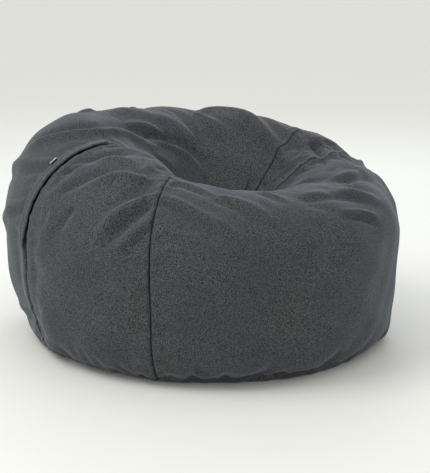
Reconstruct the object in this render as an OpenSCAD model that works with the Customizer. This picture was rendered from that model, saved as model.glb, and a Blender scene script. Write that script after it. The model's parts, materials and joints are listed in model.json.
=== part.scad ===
// Bean bag chair: a sewn cover of four gores and a base, with a long zip under a flap,
// an inner bag with its own zip, and the bead filling.
// -Y is the open front and the floor is z = 0. Left and right are as seen from the front,
// so +X is the right.

/* [Body] */
// Half of the width, side to side
half_w = 555; // [420:5:720]
// Half of the depth, front to back
half_d = 595; // [450:5:760]
// How square the plan is, where 2 is an ellipse
plan_power = 2.1; // [2:0.05:3]
// Height at which the sides bulge furthest
belly_z = 340; // [270:5:420]
// How full the lower sides are, where 2 is a round
lower_power = 2.7; // [2:0.1:3.5]

/* [Base] */
// How far the base lies in from the belly at each side
base_in_x = 122; // [80:1:160]
// How far the base lies in from the belly at front and back
base_in_y = 82; // [60:1:160]
// How far each seam pulls a corner out of the base
base_corner = 20; // [0:1:40]
// Half of the angle that such a corner spreads over
corner_spread = 14; // [8:1:25]

/* [Rim] */
// Mean height of the rim
crest_h = 606; // [500:1:760]
// How far the rim rises towards the back, and falls towards the front
crest_tilt = 69; // [0:1:120]
// Direction in which the rim is highest
crest_dir = 103; // [60:1:150]
// How far the rim dips beside the front left seam
arm_dip = 52; // [0:1:90]
// Direction of that dip
arm_dip_dir = 204; // [180:1:230]
// How far the two arms stand over the front and back
arm_rise = 19; // [0:1:40]
// Mean width of the roll between belly and crest
roll_w = 208; // [150:1:260]
// How much wider the roll is towards roll_dir
roll_swing = 42; // [0:1:80]
// Direction in which the roll is widest
roll_dir = 140; // [90:1:180]

/* [Seat] */
// Height of the lowest point of the seat hollow
seat_z = 360; // [280:5:420]
// Sideways place of that point
seat_x = 60; // [-100:5:100]
// Fore and aft place of that point
seat_y = -60; // [-120:5:60]
// Size of the round patch in the seat, as a share of the hollow
patch_share = 0.12; // [0.08:0.01:0.2]

/* [Seams] */
// Direction of the front left seam
seam_fl = 206; // [195:1:220]
// Direction of the back left seam, which the zip closes
seam_bl = 158; // [150:1:170]
// Direction of the back right seam
seam_br = 344; // [338:1:352]
// Direction of the front right seam
seam_fr = 318; // [310:1:328]
// Half of the gap between two gores along a plain seam
seam_gap = 0.5; // [0.2:0.1:1]

/* [Layers] */
// Thickness of the cover
cover_t = 3; // [2:0.5:4]
// Thickness of the inner bag
liner_t = 1; // [0.6:0.1:2]
// Space between one layer and the next
layer_gap = 1.5; // [1:0.1:3]

/* [Zip] */
// Radius of the arc that the zip follows over the shoulder
zip_r = 270; // [220:5:340]
// Where the zip starts, as an angle on its arc up from level
zip_low = -13; // [-15:0.5:-8]
// Where the zip ends, as an angle on its arc
zip_high = 90; // [80:1:91]
// Thickness of the coil
coil_t = 3.2; // [2.4:0.1:4.5]
// Width of each half of the coil
coil_w = 1.8; // [1.4:0.1:3]
// Gap between the two halves of the coil
coil_gap = 1.2; // [1:0.1:2]
// Thickness of the tape
tape_t = 0.8; // [0.5:0.1:1.2]
// Width of each tape on the cover
tape_w = 14; // [12:0.5:18]
// Half of the opening that the zip lies in
zip_half = 12; // [10:0.5:13]
// How deep the coil lies under the cover's face
coil_top = 4.9; // [4.5:0.1:7]
// How far the inner bag is pushed in along the zip
zip_room = 14; // [13:0.5:20]

/* [Runner] */
// Length of the runner along the coil
runner_l = 13; // [10:0.5:18]
// Thickness of the runner's outer plate
outer_plate_t = 2; // [1.5:0.1:3]
// Thickness of the runner's inner plate
inner_plate_t = 1.5; // [1.2:0.1:2.5]
// Width of the lip down each side of a plate
lip_w = 1.4; // [1:0.1:2]
// Clearance between the runner and what it runs on
run_gap = 0.5; // [0.3:0.05:0.8]
// Thickness of the web that runs between the coil halves
web_t = 0.8; // [0.5:0.05:0.9]
// Height of the bridge's opening
bridge_h = 3.6; // [3:0.1:5]
// Length of the bridge's opening
bridge_l = 5.6; // [5:0.1:8]
// Width of the bridge
bridge_w = 2.6; // [2:0.1:4]
// Thickness of the bridge
bridge_t = 1.2; // [1:0.1:2]

/* [Puller] */
// Radius of the puller's pin
pin_r = 0.8; // [0.6:0.05:1]
// Length of the tab beyond the eye
tab_l = 24; // [15:1:30]
// Thickness of the tab
tab_t = 1.2; // [1:0.1:1.6]
// Width of each arm beside the bridge
arm_w = 1.2; // [1:0.1:2]

/* [Flap] */
// Thickness of the flap over the zip
flap_t = 2.5; // [1.5:0.1:4]
// Height of the flap's underside over the cover
flap_lift = 5; // [4.8:0.1:8]
// Height of the flap's sewn edge over the cover
flap_foot = 3.6; // [3.2:0.1:4.5]
// How far the flap reaches over the left gore
flap_over = 12; // [8:1:16]
// How far the flap reaches over the back gore
flap_back = 24; // [18:1:30]
// Where the flap starts, as an angle on the arc
flap_low = -2; // [-3:0.5:10]
// How far short of the zip's end the flap stops, as an angle, for the puller's swing there
flap_short = 2; // [2:0.5:4]

/* [Label] */
// Length of the side label along the flap
label_l = 22; // [12:1:40]
// How far the label stands out of the flap
label_h = 12; // [6:1:20]
// Where the label is sewn, as an angle on the arc
label_at = 54; // [10:1:80]

/* [Inner zip] */
// Length of the zip in the base of the inner bag
inner_zip_l = 400; // [200:10:500]
// Width of each tape on the inner bag
inner_tape_w = 9; // [7:0.5:10]
// Height of the inner bag's base over the floor
inner_base_z = 12; // [12:0.5:16]

/* [Hidden] */

$fn = 48;
cover_colour = [0.25, 0.26, 0.27];
inner_colour = [0.86, 0.86, 0.84];
trim_colour = [0.07, 0.07, 0.08];

// Grid of the cover: the widest a column may be, as an angle, and rows on each stretch
COLUMN_ANGLE = 10;
LOWER_ROWS = 5;
ROLL_ROWS = 10;
SEAT_ROWS = 6;
ZIP_FLAT = 5; // angle each side of the zip in which the body keeps to the zip's arc
ZIP_SPREAD = 40; // angle over which the roll and the crest leave that arc
ZIP_BELLY_SPREAD = 12; // angle over which the belly does
DIP_SPREAD = 50; // angle over which the rim dips beside the arm

liner_in = cover_t + layer_gap;
liner_in2 = liner_in + liner_t;
fill_in = liner_in2 + layer_gap;
patch_v = 4 - patch_share;
patch_edge = 0.005; // gap round the seat patch, as a share of the hollow

// Depths under the cover's outer face, along the zip
coil_mid = coil_top + coil_t / 2;
coil_end = coil_gap / 2 + coil_w;
plate_top = coil_top - run_gap - outer_plate_t;
plate_floor = coil_top + coil_t + run_gap;
lip_start = coil_end + 0.8;
runner_half = lip_start + lip_w;
lip_gap = tape_t / 2 + run_gap;
bridge_top = plate_top - bridge_h;
pin_depth = plate_top - bridge_h / 2;
arm_start = bridge_w / 2 + 0.7;
puller_half = arm_start + arm_w;
eye_l = bridge_l / 2 + bridge_t + 2;

// Angles on the zip's arc
runner_angle = asin(runner_l / 2 / zip_r);
stop_angle = 0.9;
park_gap = 0.4;
park_angle = zip_low + stop_angle + park_gap + runner_angle;

// Height of the inner zip's outer face, which faces the floor
inner_zip_z = inner_base_z + tape_t / 2 - coil_mid;
inner_slot_l = inner_zip_l + 20;
inner_slot_w = 2 * (coil_end + inner_tape_w) + 2;
fill_z = inner_zip_z + plate_floor + inner_plate_t + 2;

// ---- The body's shape ----
// phi is a direction in plan. v runs up the body: 1 at the base's edge, 2 at the belly,
// 3 at the crest of the rim and 4 in the middle of the seat.

function wrap(d) = d - 360 * round(d / 360);
function bump(d, spread) = exp(-pow(wrap(d) / spread, 2));
function oval_r(phi, hx, hy, power) =
    pow(pow(abs(cos(phi)) / hx, power) + pow(abs(sin(phi)) / hy, power), -1 / power);
function mix(a, b, share) = a + (b - a) * share;
function at_zip(phi, spread) =
    pow(cos(90 * max(0, min(1, (abs(wrap(phi - seam_bl)) - ZIP_FLAT) / spread))), 2);
function free_belly(phi) = oval_r(phi, half_w, half_d, plan_power);
function belly_r(phi) = mix(free_belly(phi), free_belly(seam_bl), at_zip(phi, ZIP_BELLY_SPREAD));
function corners(phi) = bump(phi - seam_fl, corner_spread) + bump(phi - seam_bl, corner_spread)
    + bump(phi - seam_br, corner_spread) + bump(phi - seam_fr, corner_spread);
function base_r(phi) = oval_r(phi, half_w - base_in_x, half_d - base_in_y, 2)
    + base_corner * corners(phi);

// The roll and the crest as they would be without the zip, and as the zip's arc draws them
function free_roll(phi) = roll_w + roll_swing * cos(phi - roll_dir);
function free_crest(phi) = crest_h + crest_tilt * cos(phi - crest_dir)
    - arm_dip * bump(phi - arm_dip_dir, DIP_SPREAD) + arm_rise * cos(2 * phi);
function roll(phi) = mix(free_roll(phi), zip_r, at_zip(phi, ZIP_SPREAD));
function crest_z(phi) = mix(free_crest(phi), belly_z + zip_r, at_zip(phi, ZIP_SPREAD));
function crest_r(phi) = belly_r(phi) - roll(phi);

// A point of the layer that lies t inside the cover's face, and floor_t over the floor
function lower_point(phi, a, t, floor_t) = [
    base_r(phi) - t + (belly_r(phi) - base_r(phi)) * pow(cos(a), 2 / lower_power),
    belly_z - (belly_z - floor_t) * pow(sin(a), 2 / lower_power)];
function roll_point(phi, a, t) = [
    crest_r(phi) + (roll(phi) - t) * cos(a),
    belly_z + (crest_z(phi) - t - belly_z) * sin(a)];
function seat_point(phi, q, t) = [
    crest_r(phi) * cos(phi) * (1 - q) + seat_x * q,
    crest_r(phi) * sin(phi) * (1 - q) + seat_y * q,
    seat_z - t + (crest_z(phi) - seat_z) * (1 + cos(180 * q)) / 2];
function turned(p, phi) = [p[0] * cos(phi), p[0] * sin(phi), p[1]];
function skin(phi, v, t, floor_t) =
    v <= 2 ? turned(lower_point(phi, (2 - v) * 90, t, floor_t), phi)
    : v <= 3 ? turned(roll_point(phi, (v - 2) * 90, t), phi)
    : seat_point(phi, v - 3, t);

// How far a layer is pushed in for the zip, which is only along the back left seam
function zip_push(phi, v, room) = abs(wrap(phi - seam_bl)) > 1 ? 0
    : v <= 2 ? room * min(1, (v - 1) / 0.6)
    : v <= 3 ? room
    : room * (4 - v);

// Columns from one seam to the next, with one at each of the stops, and rows from v = 1 to the patch
function columns(stops) = concat(
    [for (k = [0 : len(stops) - 2], from = [stops[k]], wide = [stops[k + 1] - from],
        n = [ceil(wide / COLUMN_ANGLE)], i = [0 : n - 1]) from + wide * i / n],
    [stops[len(stops) - 1]]);
rows = concat(
    [for (i = [0 : LOWER_ROWS]) 1 + i / LOWER_ROWS],
    [for (i = [1 : ROLL_ROWS]) 2 + i / ROLL_ROWS],
    [for (i = [1 : SEAT_ROWS]) 3 + i * (patch_v - 3) / SEAT_ROWS]);
front_columns = columns([seam_fl, 270, seam_fr]);
right_columns = columns([seam_fr, seam_br]);
back_columns = columns([seam_br - 360, 0, 90, seam_bl]);
left_columns = columns([seam_bl, 180, seam_fl]);
function open_end(list) = [for (i = [0 : len(list) - 2]) list[i]];
all_columns = concat(open_end(back_columns), open_end(left_columns),
    open_end(front_columns), open_end(right_columns));

// Angle by which a gore's edge stays back from its seam, for a gap of this width
function edge_angle(phi, v, gap) = asin(min(0.9, gap / (v <= 3
    ? norm([skin(phi, v, 0, 0)[0], skin(phi, v, 0, 0)[1]])
    : crest_r(phi) * (4 - v))));
function zip_gap(v) = v > 1.7 && v < 3.2 ? zip_half : seam_gap;

// ---- Building blocks ----

// A sheet between two sets of points, each row by row, closed round its border
module sheet(outer, inner, n_rows, n_cols) {
    n = n_rows * n_cols;
    function at(i, k) = i * n_cols + k;
    polyhedron(points = concat(outer, inner), faces = concat(
        [for (i = [0 : n_rows - 2], k = [0 : n_cols - 2]) each [
            [at(i, k), at(i + 1, k), at(i + 1, k + 1)],
            [at(i, k), at(i + 1, k + 1), at(i, k + 1)],
            [n + at(i, k), n + at(i + 1, k + 1), n + at(i + 1, k)],
            [n + at(i, k), n + at(i, k + 1), n + at(i + 1, k + 1)]]],
        [for (i = [0 : n_rows - 2], last = [n_cols - 1]) each [
            [at(i + 1, 0), at(i, 0), n + at(i, 0)],
            [at(i + 1, 0), n + at(i, 0), n + at(i + 1, 0)],
            [at(i, last), at(i + 1, last), n + at(i + 1, last)],
            [at(i, last), n + at(i + 1, last), n + at(i, last)]]],
        [for (k = [0 : n_cols - 2], top = [n_rows - 1]) each [
            [at(0, k), at(0, k + 1), n + at(0, k + 1)],
            [at(0, k), n + at(0, k + 1), n + at(0, k)],
            [at(top, k + 1), at(top, k), n + at(top, k)],
            [at(top, k + 1), n + at(top, k), n + at(top, k + 1)]]]));
}

// One gore of the cover
module cover_gore(cols) {
    last = len(cols) - 1;
    function held(k, v) = abs(wrap(cols[k] - seam_bl)) < 0.01 ? zip_gap(v) : seam_gap;
    function phi_at(k, v) = k == 0 ? cols[0] + edge_angle(cols[0], v, held(0, v))
        : k == last ? cols[last] - edge_angle(cols[last], v, held(last, v))
        : cols[k];
    color(cover_colour) sheet(
        [for (v = rows, k = [0 : last]) skin(phi_at(k, v), v, 0, 0)],
        [for (v = rows, k = [0 : last]) skin(phi_at(k, v), v, cover_t, cover_t)],
        len(rows), last + 1);
}

// One gore of the inner bag, which is pushed in along the zip
module inner_gore(cols) {
    last = len(cols) - 1;
    function phi_at(k, v) = k == 0 ? cols[0] + edge_angle(cols[0], v, seam_gap)
        : k == last ? cols[last] - edge_angle(cols[last], v, seam_gap)
        : cols[k];
    function layer(k, v, t, floor_t) =
        skin(phi_at(k, v), v, t + zip_push(cols[k], v, zip_room), floor_t);
    color(inner_colour) sheet(
        [for (v = rows, k = [0 : last]) layer(k, v, liner_in, inner_base_z)],
        [for (v = rows, k = [0 : last]) layer(k, v, liner_in2, inner_base_z + liner_t)],
        len(rows), last + 1);
}

// The round patch in the middle of the seat, t_out to t_in under the cover's face
module patch(t_out, t_in) {
    n = len(all_columns);
    v = patch_v + patch_edge;
    polyhedron(
        points = concat(
            [for (phi = all_columns) skin(phi, v, t_out, 0)], [[seat_x, seat_y, seat_z - t_out]],
            [for (phi = all_columns) skin(phi, v, t_in, 0)], [[seat_x, seat_y, seat_z - t_in]]),
        faces = [for (k = [0 : n - 1], next = [(k + 1) % n]) each [
            [n, next, k],
            [2 * n + 1, n + 1 + k, n + 1 + next],
            [k, next, n + 1 + next],
            [k, n + 1 + next, n + 1 + k]]]);
}

// The flat piece that closes a layer at the floor, t inside the cover's face
module base_sheet(t, z, thickness) {
    translate([0, 0, z]) linear_extrude(thickness)
        polygon([for (phi = all_columns)
            (base_r(phi) - t - 2 * seam_gap) * [cos(phi), sin(phi)]]);
}

// The zip's own frame: x is out of the cover, y is up the zip, z is towards the back gore
module zip_frame() {
    translate((belly_r(seam_bl) - zip_r) * [cos(seam_bl), sin(seam_bl), 0] + [0, 0, belly_z])
        rotate([0, 0, seam_bl]) rotate([90, 0, 0]) children();
}

// A band that follows the zip's arc, between two depths and two places across it
module arc_band(from, to, depth0, depth1, z0, z1) {
    rotate([0, 0, from]) rotate_extrude(angle = to - from, $fn = 180)
        translate([zip_r - depth1, z0]) square([depth1 - depth0, z1 - z0]);
}

// A straight strip in the same frame
module strip(y0, y1, depth0, depth1, z0, z1) {
    translate([-depth1, y0, z0]) cube([depth1 - depth0, y1 - y0, z1 - z0]);
}

// The runner, centred on y = 0: two plates with lips, and a web between the coil halves
module runner(with_bridge) {
    half_l = runner_l / 2;
    strip(-half_l, half_l, plate_top, plate_top + outer_plate_t, -runner_half, runner_half);
    strip(-half_l, half_l, plate_floor, plate_floor + inner_plate_t, -runner_half, runner_half);
    for (z = [-runner_half, lip_start]) {
        strip(-half_l, half_l, plate_top + outer_plate_t, coil_mid - lip_gap, z, z + lip_w);
        strip(-half_l, half_l, coil_mid + lip_gap, plate_floor, z, z + lip_w);
    }
    strip(0, half_l - 1, plate_top + outer_plate_t, plate_floor, -web_t / 2, web_t / 2);
    if (with_bridge) {
        for (y = [-bridge_l / 2 - bridge_t, bridge_l / 2])
            strip(y, y + bridge_t, bridge_top, plate_top, -bridge_w / 2, bridge_w / 2);
        strip(-bridge_l / 2 - bridge_t, bridge_l / 2 + bridge_t,
            bridge_top - bridge_t, bridge_top, -bridge_w / 2, bridge_w / 2);
    }
}

// ---- The cover ----

module front_panel() cover_gore(front_columns);
module left_side_panel() cover_gore(left_columns);
module right_side_panel() cover_gore(right_columns);
module back_panel() cover_gore(back_columns);
module base_panel() color(trim_colour) base_sheet(cover_t, 0, cover_t);
module seat_patch() color(cover_colour) patch(0, cover_t);

// The flap is sewn to the back gore, and leaves room for the puller's swing at both ends
module zip_flap() color(cover_colour) zip_frame() rotate([0, 0, flap_low])
    rotate_extrude(angle = zip_high - flap_short - flap_low, $fn = 180) polygon([
        [zip_r + flap_lift, -flap_over],
        [zip_r + flap_lift + flap_t, -flap_over],
        [zip_r + flap_lift + flap_t, flap_back],
        [zip_r + flap_foot, flap_back],
        [zip_r + flap_foot, flap_back - flap_t],
        [zip_r + flap_lift, flap_back - flap_t]]);

module side_label() color(trim_colour) zip_frame() rotate([0, 0, label_at])
    translate([zip_r, 0, 0]) strip(-label_l / 2, label_l / 2,
        -flap_lift - flap_t - label_h, -flap_lift - flap_t, flap_back - flap_t, flap_back - flap_t + 0.6);

// ---- The zip ----

// side is 1 towards the back gore and -1 towards the left one
module zip_tape(side) color(trim_colour) zip_frame()
    arc_band(zip_low - 1, zip_high + 1, coil_mid - tape_t / 2, coil_mid + tape_t / 2,
        side > 0 ? coil_end : -coil_end - tape_w, side > 0 ? coil_end + tape_w : -coil_end);
module zip_tape_left() zip_tape(-1);
module zip_tape_back() zip_tape(1);

module zip_coil(side) color(trim_colour) zip_frame()
    arc_band(zip_low + stop_angle, zip_high - stop_angle, coil_top, coil_top + coil_t,
        side > 0 ? coil_gap / 2 : -coil_end, side > 0 ? coil_end : -coil_gap / 2);
module zip_coil_left() zip_coil(-1);
module zip_coil_back() zip_coil(1);

module zip_top_stop() color(trim_colour) zip_frame()
    arc_band(zip_high - stop_angle, zip_high, coil_top - 0.6, coil_mid - tape_t / 2, -coil_end, coil_end);
module zip_bottom_stop() color(trim_colour) zip_frame()
    arc_band(zip_low, zip_low + stop_angle, coil_top - 0.6, coil_mid - tape_t / 2, -coil_end, coil_end);

module at_park() zip_frame() rotate([0, 0, park_angle]) translate([zip_r, 0, 0]) children();
module zip_slider() color(trim_colour) at_park() runner(true);

// The puller: a pin through the bridge, an arm on each side of it, and a tab with a slot
module zip_puller() color(trim_colour) at_park() {
    translate([-pin_depth, 0, 0]) cylinder(h = 2 * arm_start + 0.2, r = pin_r, center = true);
    for (z = [-puller_half, arm_start])
        strip(-eye_l - 1, pin_r, pin_depth - tab_t / 2, pin_depth + tab_t / 2, z, z + arm_w);
    difference() {
        strip(-eye_l - tab_l, -eye_l, pin_depth - tab_t / 2, pin_depth + tab_t / 2,
            -puller_half, puller_half);
        strip(-eye_l - tab_l + 3, -eye_l - tab_l + 9, pin_depth - tab_t, pin_depth + tab_t,
            -puller_half + 1.4, puller_half - 1.4);
    }
}

// ---- The inner bag ----

module inner_bag_front() inner_gore(front_columns);
module inner_bag_left_side() inner_gore(left_columns);
module inner_bag_right_side() inner_gore(right_columns);
module inner_bag_back() inner_gore(back_columns);
module inner_bag_patch() color(inner_colour) patch(liner_in, liner_in2);
module inner_bag_base() color(inner_colour) difference() {
    base_sheet(liner_in2, inner_base_z, liner_t);
    translate([0, 0, inner_base_z]) cube([inner_slot_l, inner_slot_w, 3 * liner_t], center = true);
}

// The same zip frame laid flat under the inner bag: x faces the floor and y runs to +X
module inner_zip_frame() translate([0, 0, inner_zip_z]) rotate([0, 90, -90]) children();

module inner_zip_tape(side) color(inner_colour) inner_zip_frame()
    strip(-inner_slot_l / 2 + 2, inner_slot_l / 2 - 2, coil_mid - tape_t / 2, coil_mid + tape_t / 2,
        side > 0 ? coil_end : -coil_end - inner_tape_w, side > 0 ? coil_end + inner_tape_w : -coil_end);
module inner_zip_tape_front() inner_zip_tape(1);
module inner_zip_tape_back() inner_zip_tape(-1);

module inner_zip_coil(side) color(inner_colour) inner_zip_frame()
    strip(-inner_zip_l / 2, inner_zip_l / 2, coil_top, coil_top + coil_t,
        side > 0 ? coil_gap / 2 : -coil_end, side > 0 ? coil_end : -coil_gap / 2);
module inner_zip_coil_front() inner_zip_coil(1);
module inner_zip_coil_back() inner_zip_coil(-1);

module inner_zip_stops() color(trim_colour) inner_zip_frame() for (y = [-1, 1])
    translate([0, y * (inner_zip_l / 2 + 2), 0])
        strip(-2, 2, coil_top - 0.6, coil_mid - tape_t / 2, -coil_end, coil_end);
module inner_zip_slider() color(trim_colour) inner_zip_frame()
    translate([0, -inner_zip_l / 2 + runner_l / 2 + 2, 0]) runner(false);

// ---- The filling ----

module bead_fill() {
    n = len(all_columns);
    m = len(rows);
    centre = m * n;
    color([0.95, 0.95, 0.93]) polyhedron(
        points = concat(
            [for (v = rows, phi = all_columns)
                skin(phi, v, fill_in + zip_push(phi, v, zip_room), fill_z)],
            [[seat_x, seat_y, seat_z - fill_in]]),
        faces = concat(
            [for (i = [0 : m - 2], k = [0 : n - 1], next = [(k + 1) % n]) each [
                [i * n + k, (i + 1) * n + k, (i + 1) * n + next],
                [i * n + k, (i + 1) * n + next, i * n + next]]],
            [for (k = [0 : n - 1], next = [(k + 1) % n])
                [centre, (m - 1) * n + next, (m - 1) * n + k]],
            [[for (k = [0 : n - 1]) k]]));
}

front_panel();
left_side_panel();
right_side_panel();
back_panel();
base_panel();
seat_patch();
zip_flap();
zip_tape_left();
zip_tape_back();
zip_coil_left();
zip_coil_back();
zip_top_stop();
zip_bottom_stop();
zip_slider();
zip_puller();
side_label();
inner_bag_front();
inner_bag_left_side();
inner_bag_right_side();
inner_bag_back();
inner_bag_base();
inner_bag_patch();
inner_zip_tape_front();
inner_zip_tape_back();
inner_zip_coil_front();
inner_zip_coil_back();
inner_zip_stops();
inner_zip_slider();
bead_fill();
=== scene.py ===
import json
import math

import bmesh
import bpy
import numpy as np
from mathutils import Matrix, Vector


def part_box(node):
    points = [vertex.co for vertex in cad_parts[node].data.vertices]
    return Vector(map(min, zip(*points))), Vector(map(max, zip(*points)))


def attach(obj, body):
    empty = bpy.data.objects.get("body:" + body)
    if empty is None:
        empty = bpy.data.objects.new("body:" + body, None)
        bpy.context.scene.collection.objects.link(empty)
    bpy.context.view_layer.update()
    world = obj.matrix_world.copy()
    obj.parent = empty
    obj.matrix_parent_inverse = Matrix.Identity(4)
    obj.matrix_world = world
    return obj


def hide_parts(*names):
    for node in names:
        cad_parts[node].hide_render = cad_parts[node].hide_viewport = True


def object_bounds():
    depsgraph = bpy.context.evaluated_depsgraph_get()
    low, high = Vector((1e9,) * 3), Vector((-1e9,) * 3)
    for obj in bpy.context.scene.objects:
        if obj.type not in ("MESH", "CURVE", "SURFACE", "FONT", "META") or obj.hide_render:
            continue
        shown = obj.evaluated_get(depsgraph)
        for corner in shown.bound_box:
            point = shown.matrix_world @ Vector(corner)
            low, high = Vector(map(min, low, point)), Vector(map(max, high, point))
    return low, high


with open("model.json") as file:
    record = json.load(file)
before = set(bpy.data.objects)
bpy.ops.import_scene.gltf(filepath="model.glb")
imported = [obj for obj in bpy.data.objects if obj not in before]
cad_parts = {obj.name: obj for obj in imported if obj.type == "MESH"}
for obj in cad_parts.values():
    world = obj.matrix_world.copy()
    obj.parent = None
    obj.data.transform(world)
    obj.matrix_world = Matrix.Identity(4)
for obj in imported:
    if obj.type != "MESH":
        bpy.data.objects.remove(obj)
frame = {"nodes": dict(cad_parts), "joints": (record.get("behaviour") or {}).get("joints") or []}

cad_low, cad_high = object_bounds()
nodes = frame["nodes"]
joints = {joint["name"]: joint for joint in frame["joints"]}

MM = 0.001

# ---- The bag's shape ----
# As in the CAD source, in metres. phi is a direction in plan, in degrees. v runs up the body:
# 1 at the base's edge, 2 at the belly, 3 at the crest of the rim and 4 in the middle of the seat.

HALF_W, HALF_D = cad_high.x, cad_high.y
PLAN_POWER = 2.1
BELLY_Z = 0.34
LOWER_POWER = 2.7
BASE_IN_X, BASE_IN_Y = 0.122, 0.082
BASE_CORNER, CORNER_SPREAD = 0.020, 14
CREST_H, CREST_TILT, CREST_DIR = 0.606, 0.069, 103
ARM_DIP, ARM_DIP_DIR, DIP_SPREAD = 0.052, 204, 50
ARM_RISE = 0.019
ROLL_W, ROLL_SWING, ROLL_DIR = 0.208, 0.042, 140
SEAT = (0.06, -0.06, 0.36)
SEAM_FL, SEAM_BL, SEAM_BR, SEAM_FR = 206, 158, 344, 318
SEAMS = (SEAM_FL, SEAM_BL, SEAM_BR, SEAM_FR)
ZIP_R = 0.27
ZIP_FLAT, ZIP_SPREAD, ZIP_BELLY_SPREAD = 5, 40, 12
PATCH_V = 3.88

# The zip's own frame: out of the cover, up the zip, and across it towards the back gore
ZIP_MIDDLE = Vector(joints["zip_travel"]["pos_m"])
ZIP_ACROSS = Vector(joints["zip_travel"]["axis"]).normalized()
ZIP_UP = Vector((0, 0, 1))
ZIP_OUT = ZIP_UP.cross(ZIP_ACROSS)
ZIP_LOW, ZIP_HIGH = -13, 90
FLAP_LOW, FLAP_HIGH = -2, 88


def cosd(angle):
    return np.cos(np.radians(angle))


def sind(angle):
    return np.sin(np.radians(angle))


def wrap(angle):
    return (np.asarray(angle) + 180) % 360 - 180


def bump(angle, spread):
    return np.exp(-(wrap(angle) / spread) ** 2)


def mix(a, b, share):
    return a + (b - a) * share


def eased(share):
    share = np.clip(share, 0, 1)
    return share * share * (3 - 2 * share)


def oval(phi, half_x, half_y, power):
    return ((abs(cosd(phi)) / half_x) ** power + (abs(sind(phi)) / half_y) ** power) ** (-1 / power)


def at_zip(phi, spread):
    return cosd(90 * np.clip((abs(wrap(phi - SEAM_BL)) - ZIP_FLAT) / spread, 0, 1)) ** 2


def belly_r(phi):
    at_seam = oval(SEAM_BL, HALF_W, HALF_D, PLAN_POWER)
    return mix(oval(phi, HALF_W, HALF_D, PLAN_POWER), at_seam, at_zip(phi, ZIP_BELLY_SPREAD))


def base_r(phi):
    corners = sum(bump(phi - seam, CORNER_SPREAD) for seam in SEAMS)
    return oval(phi, HALF_W - BASE_IN_X, HALF_D - BASE_IN_Y, 2) + BASE_CORNER * corners


def roll(phi):
    return mix(ROLL_W + ROLL_SWING * cosd(phi - ROLL_DIR), ZIP_R, at_zip(phi, ZIP_SPREAD))


def crest_z(phi):
    free = (CREST_H + CREST_TILT * cosd(phi - CREST_DIR) - ARM_DIP * bump(phi - ARM_DIP_DIR, DIP_SPREAD)
            + ARM_RISE * cosd(2 * phi))
    return mix(free, BELLY_Z + ZIP_R, at_zip(phi, ZIP_SPREAD))


def plain_skin(phi, v):
    """The smooth body's surface at (phi, v), as an array of points."""
    phi, v = np.broadcast_arrays(np.asarray(phi, float), np.asarray(v, float))
    down, up, inward = np.clip(2 - v, 0, 1) * 90, np.clip(v - 2, 0, 1) * 90, np.clip(v - 3, 0, 1)
    base, belly, width, crest = base_r(phi), belly_r(phi), roll(phi), crest_z(phi)
    lower = base + (belly - base) * cosd(down).clip(0) ** (2 / LOWER_POWER)
    radius = np.where(v <= 2, lower, belly - width + width * cosd(up)) * (1 - inward)
    height = np.where(v <= 2, BELLY_Z * (1 - sind(down) ** (2 / LOWER_POWER)),
                      np.where(v <= 3, BELLY_Z + (crest - BELLY_Z) * sind(up),
                               SEAT[2] + (crest - SEAT[2]) * (1 + cosd(180 * inward)) / 2))
    x, y = radius * cosd(phi) + SEAT[0] * inward, radius * sind(phi) + SEAT[1] * inward
    return np.stack([x, y, height], -1)


def outward(phi, v, surface=plain_skin):
    """Unit normals of a surface at (phi, v)."""
    step_phi, step_v = 0.4, 0.01
    low, high = np.clip(v - step_v, 1, 3.98), np.clip(v + step_v, 1.02, 4)
    along = surface(phi + step_phi, v) - surface(phi - step_phi, v)
    up = surface(phi, high) - surface(phi, low)
    normal = np.cross(along, up)
    return normal / np.maximum(np.linalg.norm(normal, axis=-1, keepdims=True), 1e-9)


# ---- Folds and soft swells ----

# A swell lifts a wide patch of the body: direction, v, spread in degrees, spread in v, metres
SWELLS = [
    (128, 2.62, 26, 0.30, 0.014),   # the back left shoulder stands full
    (120, 2.9, 20, 0.14, 0.006),
    (12, 3.17, 26, 0.15, 0.026),    # the backrest's right end bulges over the seat
    (60, 3.24, 30, 0.14, 0.014),
    (330, 3.08, 11, 0.12, -0.012),   # and leaves a hollow between itself and the right arm
    (305, 1.3, 22, 0.26, 0.022),    # a corner of filling low on the right
    (309, 2.7, 20, 0.22, -0.016),
    (310, 1.95, 24, 0.20, 0.004),
    (300, 3.05, 14, 0.16, 0.010),   # the right arm's own hump
    (240, 1.08, 34, 0.24, -0.022),  # the front tucks in towards its base
    (137, 1.5, 24, 0.30, -0.022),
    (218, 2.29, 3, 0.05, 0.005),
    (88, 2.1, 40, 0.30, 0.008),
    (185, 1.7, 24, 0.35, 0.006),
]

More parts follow.
